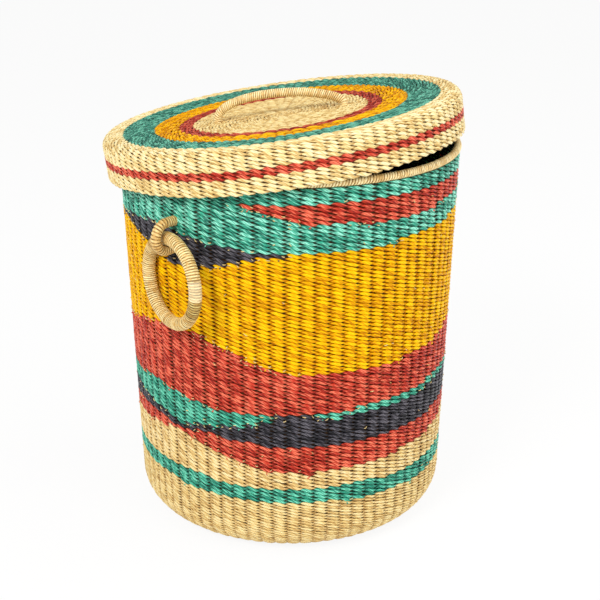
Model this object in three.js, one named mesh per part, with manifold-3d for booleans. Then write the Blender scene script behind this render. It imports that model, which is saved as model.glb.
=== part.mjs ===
// Round lidded hamper, twined from dyed elephant grass, with two ring handles and an arched lid handle.
// Millimetres, +Z up. The ring handles are on the X axis. The basket stands on its flat base.
// The weave is made course by course: an inner layer of stakes carries an outer layer of dyed wefts.
import * as THREE from 'three';
import { mergeVertices } from 'three/addons/utils/BufferGeometryUtils.js';
import Module from 'manifold-3d';

const wasm = await Module();
wasm.setup();

// Basket: the wall leans out from the base to the rim
const rimHeight = 500;
const rimRadius = 221;
const baseRadius = 207;
const baseCornerRadius = 42;
const baseLift = 0.5;
const weftThickness = 3.2;
const warpThickness = 3.8;
const rimBorderRadius = 5.2;
const rimBorderProud = 1.2;

// Lid, in its own frame: the origin is on its axis, level with the hem's underside
const lidPlay = 2.4;
const lidHeight = 56;
const lidShoulderRadius = 12;
const lidDish = 8;
const lidWeftThickness = 3.2;
const lidWarpThickness = 3.8;
const hemBorderRadius = 4.2;
const skirtStripeHeight = 28;
const skirtStripeWidth = 9;
const lidRadius = rimRadius + rimBorderProud + lidPlay + 2 * hemBorderRadius;
const lidSlip = 9;
const lidLeanAzimuth = 298;

// Rings of the lid's top, as shares of its radius
const centreShare = 0.494;
const redRingShare = 0.576;
const yellowRingShare = 0.711;
const greenRingShare = 0.873;

// Arched lid handle
const lidHandleSpan = 164;
const lidHandleRise = 26;
const lidHandleTubeRadius = 6;
const lidHandleAzimuth = 310;
const lidHandleTail = 11;
const bindingWidth = 4;
const bindingHeight = 7;

// Ring handles and the loops that hold them
const ringRadius = 52.6;
const ringTubeRadius = 8.2;
const ringTwist = -14.4;
const ringHang = 10;
const ringWallGap = 0.9;
const loopDrop = 78.5;
const loopBendRadius = 16;
const loopTubeRadius = 5.4;
const loopPlay = 1;
const loopInsideGap = 0.8;

// Clearances
const touchGap = 0.3;
const seatGap = 0.3;
const leanClearance = 0.9;
const threadClearance = 0.3;
const wedgeTip = 0.1;

// Counts
const columnCount = 40;
const cornerSteps = 4;
const borderSides = 8;
const tubeSides = 10;
const ringSteps = 36;
const loopSteps = 24;
const handleSteps = 28;
const bindingSteps = 16;
const leanSteps = 40;
const leanSamples = 160;
const steepestLean = 30;

const columnStep = 360 / columnCount;
const radians = THREE.MathUtils.degToRad;

// Colours of the dyed and undyed grass
const naturalColour = '#dcb877';
const wrapColour = '#dfbd7c';
const warpColour = '#b98f52';
const greenColour = '#1f9c79';
const yellowColour = '#eda415';
const redColour = '#c93f33';
const crimsonColour = '#9c2f2c';
const blackColour = '#2b2930';

// Edges of the dyed courses
// Each row is an azimuth in degrees, counted from the left ring handle, and a share of the rim's height.
const redWedgeTopShares = [
  [0, 0.94], [22.5, 0.94], [45, 0.946], [90, 0.944], [127.5, 0.94], [150, 0.932], [255, 0.936],
];
const redWedgeDipShares = [
  [18, 0], [36, 0.026], [54, 0.046], [90, 0.056], [126, 0.04], [153, 0],
];
const greenFootShares = [
  [5, 0.842], [22, 0.828], [40, 0.822], [60, 0.822], [100, 0.836], [135, 0.856], [168, 0.864],
  [185, 0.848], [205, 0.832], [225, 0.826], [260, 0.836], [290, 0.848], [315, 0.842], [330, 0.846],
  [349, 0.86],
];
const blackFrontDipShares = [
  [-45, 0], [-30, 0.012], [-22, 0.038], [-15, 0.058], [0, 0.088], [7, 0.078], [15, 0.058], [24, 0.032],
  [33, 0.014], [45, 0],
];
const blackBackDipShares = [
  [144, 0], [165, 0.054], [180, 0.084], [189, 0.08], [210, 0.032], [234, 0],
];
const yellowFootShares = [
  [4, 0.6], [14, 0.576], [24, 0.546], [34, 0.52], [45, 0.506], [54, 0.508], [90, 0.516], [120, 0.544],
  [150, 0.584], [180, 0.604], [198, 0.58], [215, 0.54], [235, 0.508], [260, 0.5], [290, 0.528],
  [310, 0.564], [322, 0.584], [343, 0.592],
];
const redFootShares = [
  [1, 0.412], [15, 0.404], [30, 0.398], [54, 0.404], [90, 0.414], [130, 0.428], [168, 0.43], [182, 0.41],
  [200, 0.4], [240, 0.398], [280, 0.408], [322, 0.422], [348, 0.43],
];
const greenFrontDipShares = [
  [-81, 0], [-60, 0.028], [-38, 0.05], [-26, 0.062], [-14, 0.08], [-3, 0.084], [9, 0.054], [20, 0.038],
  [30, 0.016], [36, 0],
];
const greenBackDipShares = [
  [45, 0], [54, 0.018], [81, 0.018], [117, 0.022], [140, 0.046], [165, 0.078], [177, 0.078], [190, 0.05],
  [205, 0.022], [216, 0],
];
const blackFootShares = [
  [9, 0.33], [20, 0.322], [34, 0.316], [54, 0.314], [90, 0.316], [120, 0.322], [150, 0.33], [168, 0.336],
  [177, 0.326], [195, 0.326], [215, 0.316], [240, 0.314], [280, 0.32], [322, 0.326], [341, 0.334],
  [357, 0.324],
];
const lowerRedFootShares = [
  [2, 0.306], [8, 0.292], [18, 0.266], [28, 0.246], [44, 0.238], [54, 0.242], [90, 0.252], [125, 0.276],
  [155, 0.3], [172, 0.31], [185, 0.3], [200, 0.268], [220, 0.242], [250, 0.24], [285, 0.26], [322, 0.288],
  [333, 0.292], [346, 0.306], [354, 0.312],
];
const stripeTopShares = [
  [10, 0.2], [54, 0.196], [100, 0.182], [150, 0.186], [220, 0.2], [280, 0.208], [322, 0.21], [345, 0.208],
];
const stripeWidthShare = 0.044;

// A table's value at an azimuth, straight between its rows and closed round the basket
function roundTable(table, azimuth) {
  const turned = THREE.MathUtils.euclideanModulo(azimuth, 360);
  const [firstAt, firstShare] = table[0];
  const [lastAt, lastShare] = table[table.length - 1];
  const rows = [[lastAt - 360, lastShare], ...table, [firstAt + 360, firstShare]];
  const next = rows.findIndex(([at]) => at > turned);
  const [a0, s0] = rows[next - 1];
  const [a1, s1] = rows[next];
  return s0 + ((s1 - s0) * (turned - a0)) / (a1 - a0);
}

// A wedge's depth at an azimuth: zero outside its own arc
function arcTable(table, azimuth) {
  const first = table[0][0];
  const turned = first + THREE.MathUtils.euclideanModulo(azimuth - first, 360);
  const next = table.findIndex(([at]) => at > turned);
  if (next < 1) return 0;
  const [a0, s0] = table[next - 1];
  const [a1, s1] = table[next];
  return s0 + ((s1 - s0) * (turned - a0)) / (a1 - a0);
}

// The arc that a wedge covers
const arcOf = (table) => [table[0][0], table[table.length - 1][0]];

// Heights of the course edges at an azimuth
const redWedgeTop = (a) => rimHeight * roundTable(redWedgeTopShares, a);
const redWedgeFoot = (a) => redWedgeTop(a) - rimHeight * arcTable(redWedgeDipShares, a);
const greenFoot = (a) => rimHeight * roundTable(greenFootShares, a);
const blackFrontFoot = (a) => greenFoot(a) - rimHeight * arcTable(blackFrontDipShares, a);
const blackBackFoot = (a) => greenFoot(a) - rimHeight * arcTable(blackBackDipShares, a);
const yellowTop = (a) => Math.min(blackFrontFoot(a), blackBackFoot(a));
const yellowFoot = (a) => rimHeight * roundTable(yellowFootShares, a);
const redFoot = (a) => rimHeight * roundTable(redFootShares, a);
const greenFrontFoot = (a) => redFoot(a) - rimHeight * arcTable(greenFrontDipShares, a);
const greenBackFoot = (a) => redFoot(a) - rimHeight * arcTable(greenBackDipShares, a);
const blackTop = (a) => Math.min(greenFrontFoot(a), greenBackFoot(a));
const blackFoot = (a) => rimHeight * roundTable(blackFootShares, a);
const lowerRedFoot = (a) => rimHeight * roundTable(lowerRedFootShares, a);
const stripeTop = (a) => rimHeight * roundTable(stripeTopShares, a);
const stripeFoot = (a) => stripeTop(a) - rimHeight * stripeWidthShare;

// Outer radius of the wall at a height
const wallRadius = (z) => baseRadius + ((rimRadius - baseRadius) * z) / rimHeight;
const wallTop = rimHeight - 2 * rimBorderRadius - touchGap;

function material(name, color, roughness = 0.72) {
  return new THREE.MeshStandardMaterial({ name, color, roughness, metalness: 0 });
}

const natural = () => material('natural_grass', naturalColour);
const green = () => material('green_grass', greenColour);
const yellow = () => material('yellow_grass', yellowColour);
const red = () => material('red_grass', redColour);
const crimson = () => material('crimson_grass', crimsonColour);
const black = () => material('black_grass', blackColour);
const wrap = () => material('wrapped_grass', wrapColour, 0.66);
const warp = () => material('warp_grass', warpColour, 0.8);

function mesh(name, geometry, surface) {
  const piece = new THREE.Mesh(geometry, surface);
  piece.name = name;
  return piece;
}

// Solid of revolution about +Z from a profile of [radius, height] points
function turned(points) {
  const profile = points.map(([r, z]) => new THREE.Vector2(r, z));
  const geometry = new THREE.LatheGeometry(profile, columnCount);
  geometry.rotateX(Math.PI / 2);
  return geometry;
}

// Points of a quarter arc, between two angles in degrees
function arcPoints(centreR, centreZ, radius, fromAngle, toAngle) {
  const points = [];
  for (let i = 0; i <= cornerSteps; i += 1) {
    const angle = radians(fromAngle + ((toAngle - fromAngle) * i) / cornerSteps);
    points.push([centreR + radius * Math.cos(angle), centreZ + radius * Math.sin(angle)]);
  }
  return points;
}

// Round border: a ring of circular section
function borderGeometry(radius, height, sectionRadius) {
  const geometry = new THREE.TorusGeometry(radius, sectionRadius, borderSides, columnCount);
  geometry.translate(0, 0, height);
  return geometry;
}

// One course of weft: a curved band between two edges, all round or over an arc.
// Azimuths are counted from the left ring handle, which is on the -X side.
function courseGeometry(from, to, topEdge, footEdge) {
  const closed = to - from === 360;
  const count = Math.round((to - from) / columnStep);
  const positions = [];
  const index = [];
  for (let i = 0; i <= (closed ? count - 1 : count); i += 1) {
    const azimuth = from + i * columnStep;
    const middle = (topEdge(azimuth) + footEdge(azimuth)) / 2;
    const top = Math.max(topEdge(azimuth) - touchGap / 2, middle + wedgeTip / 2);
    const foot = Math.min(footEdge(azimuth) + touchGap / 2, middle - wedgeTip / 2);
    const angle = Math.PI + radians(azimuth);
    for (const [inset, z] of [[weftThickness, foot], [0, foot], [0, top], [weftThickness, top]]) {
      const r = wallRadius(z) - inset;
      positions.push(r * Math.cos(angle), r * Math.sin(angle), z);
    }
  }
  const corners = 4;
  const sections = closed ? count : count + 1;
  for (let i = 0; i < count; i += 1) {
    const here = corners * i;
    const next = corners * ((i + 1) % sections);
    for (let k = 0; k < corners; k += 1) {
      const k2 = (k + 1) % corners;
      index.push(here + k, next + k, next + k2, here + k, next + k2, here + k2);
    }
  }
  if (!closed) {
    const end = corners * count;
    index.push(0, 1, 2, 0, 2, 3);
    index.push(end, end + 2, end + 1, end, end + 3, end + 2);
  }
  const geometry = new THREE.BufferGeometry();
  geometry.setAttribute('position', new THREE.Float32BufferAttribute(positions, 3));
  geometry.setIndex(index);
  geometry.computeVertexNormals();
  return geometry;
}

// Tube along an open curve
function tubeGeometry(curve, radius, steps) {
  const section = new THREE.Shape();
  section.absarc(0, 0, radius, 0, 2 * Math.PI);
  const corners = section.getSpacedPoints(tubeSides).slice(0, tubeSides);
  return new THREE.ExtrudeGeometry(new THREE.Shape(corners), {
    steps,
    extrudePath: curve,
    bevelEnabled: false,
  });
}

// Closed tube in the XZ plane: two half circles joined by two straight runs
function linkGeometry(halfRun, bendRadius, radius) {
  const positions = [];
  const index = [];
  for (let i = 0; i < loopSteps; i += 1) {
    const turn = (2 * Math.PI * (i + 1 / 2)) / loopSteps;
    const bendX = halfRun * Math.sign(Math.cos(turn));
    for (let k = 0; k < borderSides; k += 1) {
      const side = (2 * Math.PI * k) / borderSides;
      const reach = bendRadius + radius * Math.cos(side);
      positions.push(bendX + reach * Math.cos(turn), radius * Math.sin(side), reach * Math.sin(turn));
      const here = borderSides * i;
      const next = borderSides * ((i + 1) % loopSteps);
      const k2 = (k + 1) % borderSides;
      index.push(here + k, here + k2, next + k2, here + k, next + k2, next + k);
    }
  }
  const geometry = new THREE.BufferGeometry();
  geometry.setAttribute('position', new THREE.Float32BufferAttribute(positions, 3));
  geometry.setIndex(index);
  geometry.computeVertexNormals();
  return geometry;
}

// Boolean cut of one closed geometry by others
function solidOf(geometry) {
  const plain = geometry.clone();
  plain.deleteAttribute('normal');
  if (plain.attributes.uv) plain.deleteAttribute('uv');
  const merged = mergeVertices(plain);
  return new wasm.Manifold(new wasm.Mesh({
    numProp: 3,
    vertProperties: Float32Array.from(merged.attributes.position.array),
    triVerts: Uint32Array.from(merged.index.array),
  }));
}

function cutGeometry(geometry, cutters) {
  let solid = solidOf(geometry);
  for (const cutter of cutters) solid = solid.subtract(solidOf(cutter));
  const result = solid.getMesh();
  const cut = new THREE.BufferGeometry();
  cut.setAttribute('position', new THREE.BufferAttribute(result.vertProperties, 3));
  cut.setIndex(new THREE.BufferAttribute(result.triVerts, 1));
  cut.computeVertexNormals();
  return cut;
}

// Ring handle and loop, in the frame of one handle: +X points out of the wall.
// The loop is upright and square to the wall. The ring hangs in it by a point a little off its top.
const along = new THREE.Vector2(-Math.sin(radians(ringTwist)), Math.cos(radians(ringTwist)));
const hangOffset = ringRadius * Math.sin(radians(ringHang));
const hangDrop = ringRadius * Math.cos(radians(ringHang));
const loopHeight = rimHeight - loopDrop;
const loopWallRadius = wallRadius(loopHeight);

// How far the ring's tube stands off the wall in its loop, so that the ring's near side just clears the wall
function ringStandOff() {
  const nearSide = hangOffset - ringRadius;
  const limit = wallRadius(loopHeight - hangDrop) + ringTubeRadius + ringWallGap;
  const nearX = Math.sqrt(limit ** 2 - (nearSide * along.y) ** 2);
  return nearX - nearSide * along.x - loopWallRadius;
}

// The ring's tube lies in the loop's outer bend, low in it by what play there is
const standOff = ringStandOff();
const loopInside = weftThickness + touchGap + warpThickness + loopInsideGap + loopTubeRadius;
const innerBendCentre = loopBendRadius - loopInside;
const loopHalfRun = (standOff - innerBendCentre) / 2;
const loopStandOff = (standOff + innerBendCentre) / 2;
const sag = loopBendRadius - loopTubeRadius - ringTubeRadius - loopPlay;
const gripHeight = loopHeight - sag;
const ringHeight = gripHeight - hangDrop;

function handleFrame(onTheLeft) {
  const frame = new THREE.Group();
  if (onTheLeft) frame.rotation.z = Math.PI;
  return frame;
}

function loopGeometry(extra) {
  const geometry = linkGeometry(loopHalfRun, loopBendRadius, loopTubeRadius + extra);
  geometry.translate(loopWallRadius + loopStandOff, 0, loopHeight);
  return geometry;
}

// The ring's plane is upright and turned a little out of square to the wall
function ringGeometry() {
  const geometry = new THREE.TorusGeometry(ringRadius, ringTubeRadius, tubeSides, ringSteps);
  geometry.rotateX(Math.PI / 2);
  geometry.rotateZ(radians(ringTwist) + Math.PI / 2);
  geometry.translate(
    loopWallRadius + standOff + hangOffset * along.x,
    hangOffset * along.y,
    ringHeight,
  );
  return geometry;
}

// The loops' passages through the wall, one at each side
const threadCutters = [0, Math.PI].map((turn) => {
  const cutter = loopGeometry(threadClearance);
  cutter.rotateZ(turn);
  return cutter;
});

const threaded = (geometry) => cutGeometry(geometry, threadCutters);

// Basket
function warpShell() {
  const outerInset = weftThickness + touchGap;
  const innerInset = outerInset + warpThickness;
  const outerCorner = baseCornerRadius - outerInset;
  const innerCorner = baseCornerRadius - innerInset;
  const cornerR = wallRadius(baseCornerRadius) - baseCornerRadius;
  return threaded(turned([
    [0, outerInset],
    ...arcPoints(cornerR, baseCornerRadius, outerCorner, -90, 0),
    [wallRadius(wallTop) - outerInset, wallTop],
    [wallRadius(wallTop) - innerInset, wallTop],
    ...arcPoints(cornerR, baseCornerRadius, innerCorner, 0, -90),
    [0, innerInset],
  ]));
}

function basePanel() {
  const radius = wallRadius(baseCornerRadius) - baseCornerRadius - touchGap;
  return turned([[0, 0], [radius, 0], [radius, weftThickness], [0, weftThickness]]);
}

// Rounded bottom edge, up to the level where the wall's courses begin
function baseCourse() {
  const cornerR = wallRadius(baseCornerRadius) - baseCornerRadius;
  const outerRadius = baseCornerRadius - baseLift;
  const innerRadius = baseCornerRadius - weftThickness;
  return turned([
    ...arcPoints(cornerR, baseCornerRadius, outerRadius, -90, 0),
    ...arcPoints(cornerR, baseCornerRadius, innerRadius, 0, -90),
    [cornerR, baseLift],
  ]);
}

const basket = new THREE.Group();
const allRound = [0, 360];
const lowWallTop = () => baseCornerRadius;
const wallTopEdge = () => wallTop + touchGap / 2;

const roundCourse = (topEdge, footEdge) => courseGeometry(...allRound, topEdge, footEdge);
const wedge = (table, topEdge, footEdge) => courseGeometry(...arcOf(table), topEdge, footEdge);
const blackWedge = (table, footEdge) => threaded(wedge(table, greenFoot, footEdge));

basket.add(
  mesh('warp_shell', warpShell(), warp()),
  mesh('base_panel', basePanel(), natural()),
  mesh('base_corner_course', baseCourse(), natural()),
  mesh('foot_natural_course', roundCourse(stripeFoot, lowWallTop), natural()),
  mesh('green_stripe', roundCourse(stripeTop, stripeFoot), green()),
  mesh('natural_course', roundCourse(lowerRedFoot, stripeTop), natural()),
  mesh('lower_red_course', roundCourse(blackFoot, lowerRedFoot), red()),
  mesh('black_course', roundCourse(blackTop, blackFoot), black()),
  mesh('green_wedge_front', wedge(greenFrontDipShares, redFoot, greenFrontFoot), green()),
  mesh('green_wedge_back', wedge(greenBackDipShares, redFoot, greenBackFoot), green()),
  mesh('red_course', roundCourse(yellowFoot, redFoot), red()),
  mesh('yellow_course', threaded(roundCourse(yellowTop, yellowFoot)), yellow()),
  mesh('black_wedge_front', blackWedge(blackFrontDipShares, blackFrontFoot), black()),
  mesh('black_wedge_back', blackWedge(blackBackDipShares, blackBackFoot), black()),
  mesh('green_course', threaded(roundCourse(redWedgeFoot, greenFoot)), green()),
  mesh('red_wedge', wedge(redWedgeDipShares, redWedgeTop, redWedgeFoot), red()),
  mesh('top_green_course', threaded(roundCourse(wallTopEdge, redWedgeTop)), green()),
);

// Border round the rim
const rimBorderCentre = rimRadius + rimBorderProud - rimBorderRadius;
const rimBorderHeight = rimHeight - rimBorderRadius;
basket.add(mesh('rim_border', borderGeometry(rimBorderCentre, rimBorderHeight, rimBorderRadius), natural()));

// Loops and ring handles
for (const [side, onTheLeft] of [['left', true], ['right', false]]) {
  const frame = handleFrame(onTheLeft);
  frame.add(mesh(`ring_loop_${side}`, loopGeometry(0), wrap()));
  frame.add(mesh(`ring_handle_${side}`, ringGeometry(), wrap()));
  basket.add(frame);
}

// Lid
const lidTop = (r) => lidHeight - lidDish * (1 - (r / lidRadius) ** 2);
const lidWarpInset = lidWeftThickness + touchGap;
const lidInset = lidWarpInset + lidWarpThickness;
const shoulderR = lidRadius - lidShoulderRadius;
const hemRadius = lidRadius - hemBorderRadius;
const hemTop = 2 * hemBorderRadius + touchGap;

// Points of the lid's dished top, between two radii and at a depth below its surface
const dishRadii = [centreShare / 2, centreShare, yellowRingShare]
  .map((share) => share * lidRadius);

function dishPoints(innerR, outerR, depth) {
  const between = dishRadii.filter((r) => r > innerR + touchGap && r < outerR - touchGap);
  return [innerR, ...between, outerR].map((r) => [r, lidTop(r) - depth]);
}

// Piece of the lid's top between two radii
function topPiece(innerR, outerR) {
  const surface = dishPoints(innerR, outerR, 0).reverse();
  const outline = [...dishPoints(innerR, outerR, lidWeftThickness), ...surface];
  if (innerR > 0) outline.push(outline[0]);
  return turned(outline);
}

// Handle in the lid's frame: its tails pass down through the top
// Each row is a share of the half span and a share of the rise. The arch is fuller at one end.
const handleFoot = lidTop(lidHandleSpan / 2);
const handleArchShares = [
  [-1, 0], [-0.99, 0.24], [-0.9, 0.56], [-0.68, 0.84], [-0.4, 0.98], [-0.1, 1], [0.3, 0.9], [0.62, 0.69],
  [0.89, 0.4], [0.99, 0.18], [1, 0],
];

function handleCurve() {
  const arch = handleArchShares.map(([across, up]) => (
    new THREE.Vector3((across * lidHandleSpan) / 2, 0, handleFoot + up * lidHandleRise)
  ));
  const tail = new THREE.Vector3(0, 0, -lidHandleTail - lidInset);
  const start = arch[0].clone().add(tail);
  const end = arch[arch.length - 1].clone().add(tail);
  return new THREE.CatmullRomCurve3([start, ...arch, end], false, 'centripetal');
}

function legCutters() {
  return [-1, 1].map((side) => {
    const radius = lidHandleTubeRadius + threadClearance + touchGap;
    const leg = new THREE.CylinderGeometry(radius, radius, 2 * (lidHandleTail + lidInset), tubeSides);
    leg.rotateX(Math.PI / 2);
    leg.translate((side * lidHandleSpan) / 2, 0, handleFoot - lidInset);
    leg.rotateZ(radians(lidHandleAzimuth));
    return leg;
  });
}

function lidCentre() {
  return cutGeometry(topPiece(0, centreShare * lidRadius - touchGap / 2), legCutters());
}

function lidWarp() {
  const outerShoulder = lidShoulderRadius - lidWarpInset;
  const innerShoulder = lidShoulderRadius - lidInset;
  const shoulderZ = lidTop(shoulderR) - lidShoulderRadius;
  return cutGeometry(turned([
    ...dishPoints(0, shoulderR, lidInset).slice(0, -1),
    ...arcPoints(shoulderR, shoulderZ, innerShoulder, 90, 0),
    [lidRadius - lidInset, hemTop],
    [lidRadius - lidWarpInset, hemTop],
    ...arcPoints(shoulderR, shoulderZ, outerShoulder, 0, 90),
    ...dishPoints(0, shoulderR, lidWarpInset).reverse().slice(1),
  ]), legCutters());
}

// Undyed course from the green ring over the shoulder and down to the skirt's stripe
function edgeCourse() {
  const innerR = greenRingShare * lidRadius + touchGap / 2;
  const shoulderZ = lidTop(shoulderR) - lidShoulderRadius;
  const foot = skirtStripeHeight + skirtStripeWidth / 2 + touchGap / 2;
  return turned([
    [innerR, lidTop(innerR)],
    [innerR, lidTop(innerR) - lidWeftThickness],
    ...arcPoints(shoulderR, shoulderZ, lidShoulderRadius - lidWeftThickness, 90, 0),
    [lidRadius - lidWeftThickness, foot],
    [lidRadius, foot],
    ...arcPoints(shoulderR, shoulderZ, lidShoulderRadius, 0, 90),
    [innerR, lidTop(innerR)],
  ]);
}

function skirtBand(foot, top) {
  return turned([
    [lidRadius - lidWeftThickness, foot],
    [lidRadius, foot],
    [lidRadius, top],
    [lidRadius - lidWeftThickness, top],
    [lidRadius - lidWeftThickness, foot],
  ]);
}

// Binding: a short collar round a handle's tail, under the lid's top
function bindingGeometry(side) {
  const inner = lidHandleTubeRadius + touchGap;
  const outer = inner + bindingWidth;
  const top = handleFoot - lidInset - 2 * touchGap;
  const section = [
    [inner, top], [inner, top - bindingHeight], [outer, top - bindingHeight], [outer, top], [inner, top],
  ];
  const profile = section.map(([r, z]) => new THREE.Vector2(r, z));
  const geometry = new THREE.LatheGeometry(profile, bindingSteps);
  geometry.rotateX(Math.PI / 2);
  geometry.translate((side * lidHandleSpan) / 2, 0, 0);
  geometry.rotateZ(radians(lidHandleAzimuth));
  return geometry;
}

const handleTube = tubeGeometry(handleCurve(), lidHandleTubeRadius, handleSteps);
handleTube.rotateZ(radians(lidHandleAzimuth));
const stripeBottom = skirtStripeHeight - skirtStripeWidth / 2;
const stripeUpper = skirtStripeHeight + skirtStripeWidth / 2;
const ringEdges = [centreShare, redRingShare, yellowRingShare, greenRingShare].map((s) => s * lidRadius);
const ringOf = (i) => topPiece(ringEdges[i] + touchGap / 2, ringEdges[i + 1] - touchGap / 2);

const lid = new THREE.Group();
lid.add(
  mesh('lid_warp', lidWarp(), warp()),
  mesh('lid_centre', lidCentre(), natural()),
  mesh('lid_red_ring', ringOf(0), crimson()),
  mesh('lid_yellow_ring', ringOf(1), yellow()),
  mesh('lid_green_ring', ringOf(2), green()),
  mesh('lid_edge_course', edgeCourse(), natural()),
  mesh('lid_skirt_stripe', skirtBand(stripeBottom + touchGap / 2, stripeUpper - touchGap / 2), red()),
  mesh('lid_skirt_course', skirtBand(hemTop, stripeBottom - touchGap / 2), natural()),
  mesh('lid_hem_border', borderGeometry(hemRadius, hemBorderRadius, hemBorderRadius), natural()),
  mesh('lid_handle', handleTube, wrap()),
  mesh('lid_handle_binding_1', bindingGeometry(-1), wrap()),
  mesh('lid_handle_binding_2', bindingGeometry(1), wrap()),
);

// The lid sits askew: its low side rests on the rim and its skirt is caught on the rim at both sides.
// In the frame below +X is the side that stands up.
const seatInLid = new THREE.Vector3(-rimBorderCentre, 0, lidTop(rimBorderCentre) - lidInset);
const seatOnRim = new THREE.Vector3(-rimBorderCentre, 0, rimHeight + seatGap);

function lidPose(lean) {
  const turn = new THREE.Matrix4().makeRotationY(-lean);
  const toSeat = new THREE.Matrix4().makeTranslation(-seatInLid.x, -seatInLid.y, -seatInLid.z);
  const place = new THREE.Matrix4().makeTranslation(seatOnRim.x - lidSlip, seatOnRim.y, seatOnRim.z);
  return place.multiply(turn).multiply(toSeat);
}

// Least distance between the hem's border and the rim's border at a lean
function hemClearance(lean) {
  const pose = lidPose(lean);
  let least = Infinity;
  for (let i = 0; i < leanSamples; i += 1) {
    const angle = (2 * Math.PI * i) / leanSamples;
    const across = hemRadius * Math.cos(angle);
    const point = new THREE.Vector3(across, hemRadius * Math.sin(angle), hemBorderRadius);
    point.applyMatrix4(pose);
    const beside = Math.hypot(point.x, point.y) - rimBorderCentre;
    const above = point.z - rimBorderHeight;
    const gap = Math.hypot(beside, above) - hemBorderRadius - rimBorderRadius;
    if (above > 0 || beside < 0) least = Math.min(least, beside < 0 && above < 0 ? -1 : gap);
  }
  return least;
}

function restingLean() {
  let low = 0;
  let high = radians(steepestLean);
  for (let i = 0; i < leanSteps; i += 1) {
    const lean = (low + high) / 2;
    if (hemClearance(lean) < leanClearance) low = lean;
    else high = lean;
  }
  return high;
}

const leaning = new THREE.Group();
const upright = new THREE.Group();
leaning.applyMatrix4(lidPose(restingLean()));
lid.rotation.z = -radians(lidLeanAzimuth);
leaning.add(lid);
upright.rotation.z = radians(lidLeanAzimuth);
upright.add(leaning);
basket.add(upright);

// The origin is below the middle of the whole basket's outer box
basket.updateMatrixWorld(true);
const middle = new THREE.Box3().setFromObject(basket, true).getCenter(new THREE.Vector3());
basket.position.set(-middle.x, -middle.y, 0);

export default basket;
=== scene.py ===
import math

import bpy
import numpy as np
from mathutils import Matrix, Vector

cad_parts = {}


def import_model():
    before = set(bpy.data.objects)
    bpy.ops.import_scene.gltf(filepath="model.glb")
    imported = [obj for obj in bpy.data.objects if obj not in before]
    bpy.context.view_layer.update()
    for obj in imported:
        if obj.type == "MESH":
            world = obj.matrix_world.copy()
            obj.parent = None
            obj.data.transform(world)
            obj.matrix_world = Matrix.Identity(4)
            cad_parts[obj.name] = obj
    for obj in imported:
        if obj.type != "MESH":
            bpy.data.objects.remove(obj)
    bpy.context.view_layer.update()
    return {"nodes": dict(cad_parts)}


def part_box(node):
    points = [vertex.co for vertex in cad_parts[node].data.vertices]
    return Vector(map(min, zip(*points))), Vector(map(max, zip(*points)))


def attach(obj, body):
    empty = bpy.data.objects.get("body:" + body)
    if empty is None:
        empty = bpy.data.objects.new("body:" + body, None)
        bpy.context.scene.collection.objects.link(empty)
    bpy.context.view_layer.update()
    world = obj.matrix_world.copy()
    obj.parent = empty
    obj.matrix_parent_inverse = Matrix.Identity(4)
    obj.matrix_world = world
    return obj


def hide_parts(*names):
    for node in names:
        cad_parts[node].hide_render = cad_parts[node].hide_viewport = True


# Lidded round hamper, twined from dyed elephant grass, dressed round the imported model. Metres, +Z up.
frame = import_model()

# Basket: outer line of the wall, and its axis from the rim's border
rim_low, rim_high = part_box("rim_border")
AXIS = Vector(((rim_low.x + rim_high.x) / 2, (rim_low.y + rim_high.y) / 2, 0))
RIM_HEIGHT = rim_high.z
BASE_RADIUS = 0.207
RIM_RADIUS = 0.221
CORNER_RADIUS = 0.042
RIM_ROPE_RADIUS = 0.0052
RIM_PROUD = 0.0012

# Lid, in its own frame: the origin is on its axis, level with the hem's underside
LID_RADIUS = 0.233
LID_HEIGHT = 0.056
LID_SHOULDER = 0.012
LID_DISH = 0.008
HEM_ROPE_RADIUS = 0.0042
STRIPE_HEIGHT = 0.028
STRIPE_WIDTH = 0.0094
CENTRE_SHARE = 0.494
RED_RING_SHARE = 0.576
YELLOW_RING_SHARE = 0.711
GREEN_RING_SHARE = 0.873

# Rows of the weave: their pitch, and where the first and the last lie on each shell's outer line.
# The foot's closer rows reach up to a share of the rim's height.
STAKES = 76
LID_STAKES = 96
FEWEST_STAKES = 6
ROW_PITCH = 0.0049
FOOT_ROW_PITCH = 0.0041
FOOT_ROWS_SHARE = 0.152
SKIRT_ROW_PITCH = 0.0047
LID_ROW_PITCH = 0.0046
BASE_ROW_START = 0.005
HEM_ROW_START = 0.0018
LID_ROW_MARGIN = 0.0034

# Stakes: where they start and end on that line, and the steps that they are drawn in
BASE_STAKE_START = 0.004
WALL_STAKE_MARGIN = 0.001
WALL_STAKE_STEP = 0.02
LID_STAKE_MARGIN = 0.003
LID_STAKE_STEP = 0.012
STAKE_SKIN = 0.0004
STAKE_PROUD = 0.0011

# Handles
RING_RADIUS = 0.0526
RING_TUBE = 0.0082
RING_TWIST = math.radians(-14.4)
LOOP_BEND = 0.016
LOOP_TUBE = 0.0054
LOOP_SWELL = 0.0009
HANDLE_SPAN = 0.164
HANDLE_RISE = 0.026
HANDLE_TUBE = 0.006
HANDLE_AZIMUTH = math.radians(310)
HANDLE_TAIL = 0.0183

# Bindings that hold the lid handle's ends: turns of one strand, wound down from just under the lid
BINDING_TURNS = 3
BINDING_PITCH = 0.0016
BINDING_STRAND = 0.0019
BINDING_REACH = 0.0083
BINDING_DEPTH = 0.0079
BINDING_SIDES = 8

# Straw wound round the ring handles, their loops, the rim and the lid handle
WRAP_PITCH = 0.0026
RING_WRAP_PITCH = 0.003
LOOP_WRAP_PITCH = 0.0034
RIM_WRAP_PITCH = 0.0036
WRAP_GROOVE = 0.0008
WRAP_LIFT = 0.0003
WRAP_WANDER_SHARE = 0.03
WRAP_ROUNDNESS = 0.8
WRAP_SAMPLES = 6

# Steps that round lines are drawn in
RIM_STEPS = 720
RING_STEPS = 240
BINDING_STEPS = 96
ARCH_STEPS = 12

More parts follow.
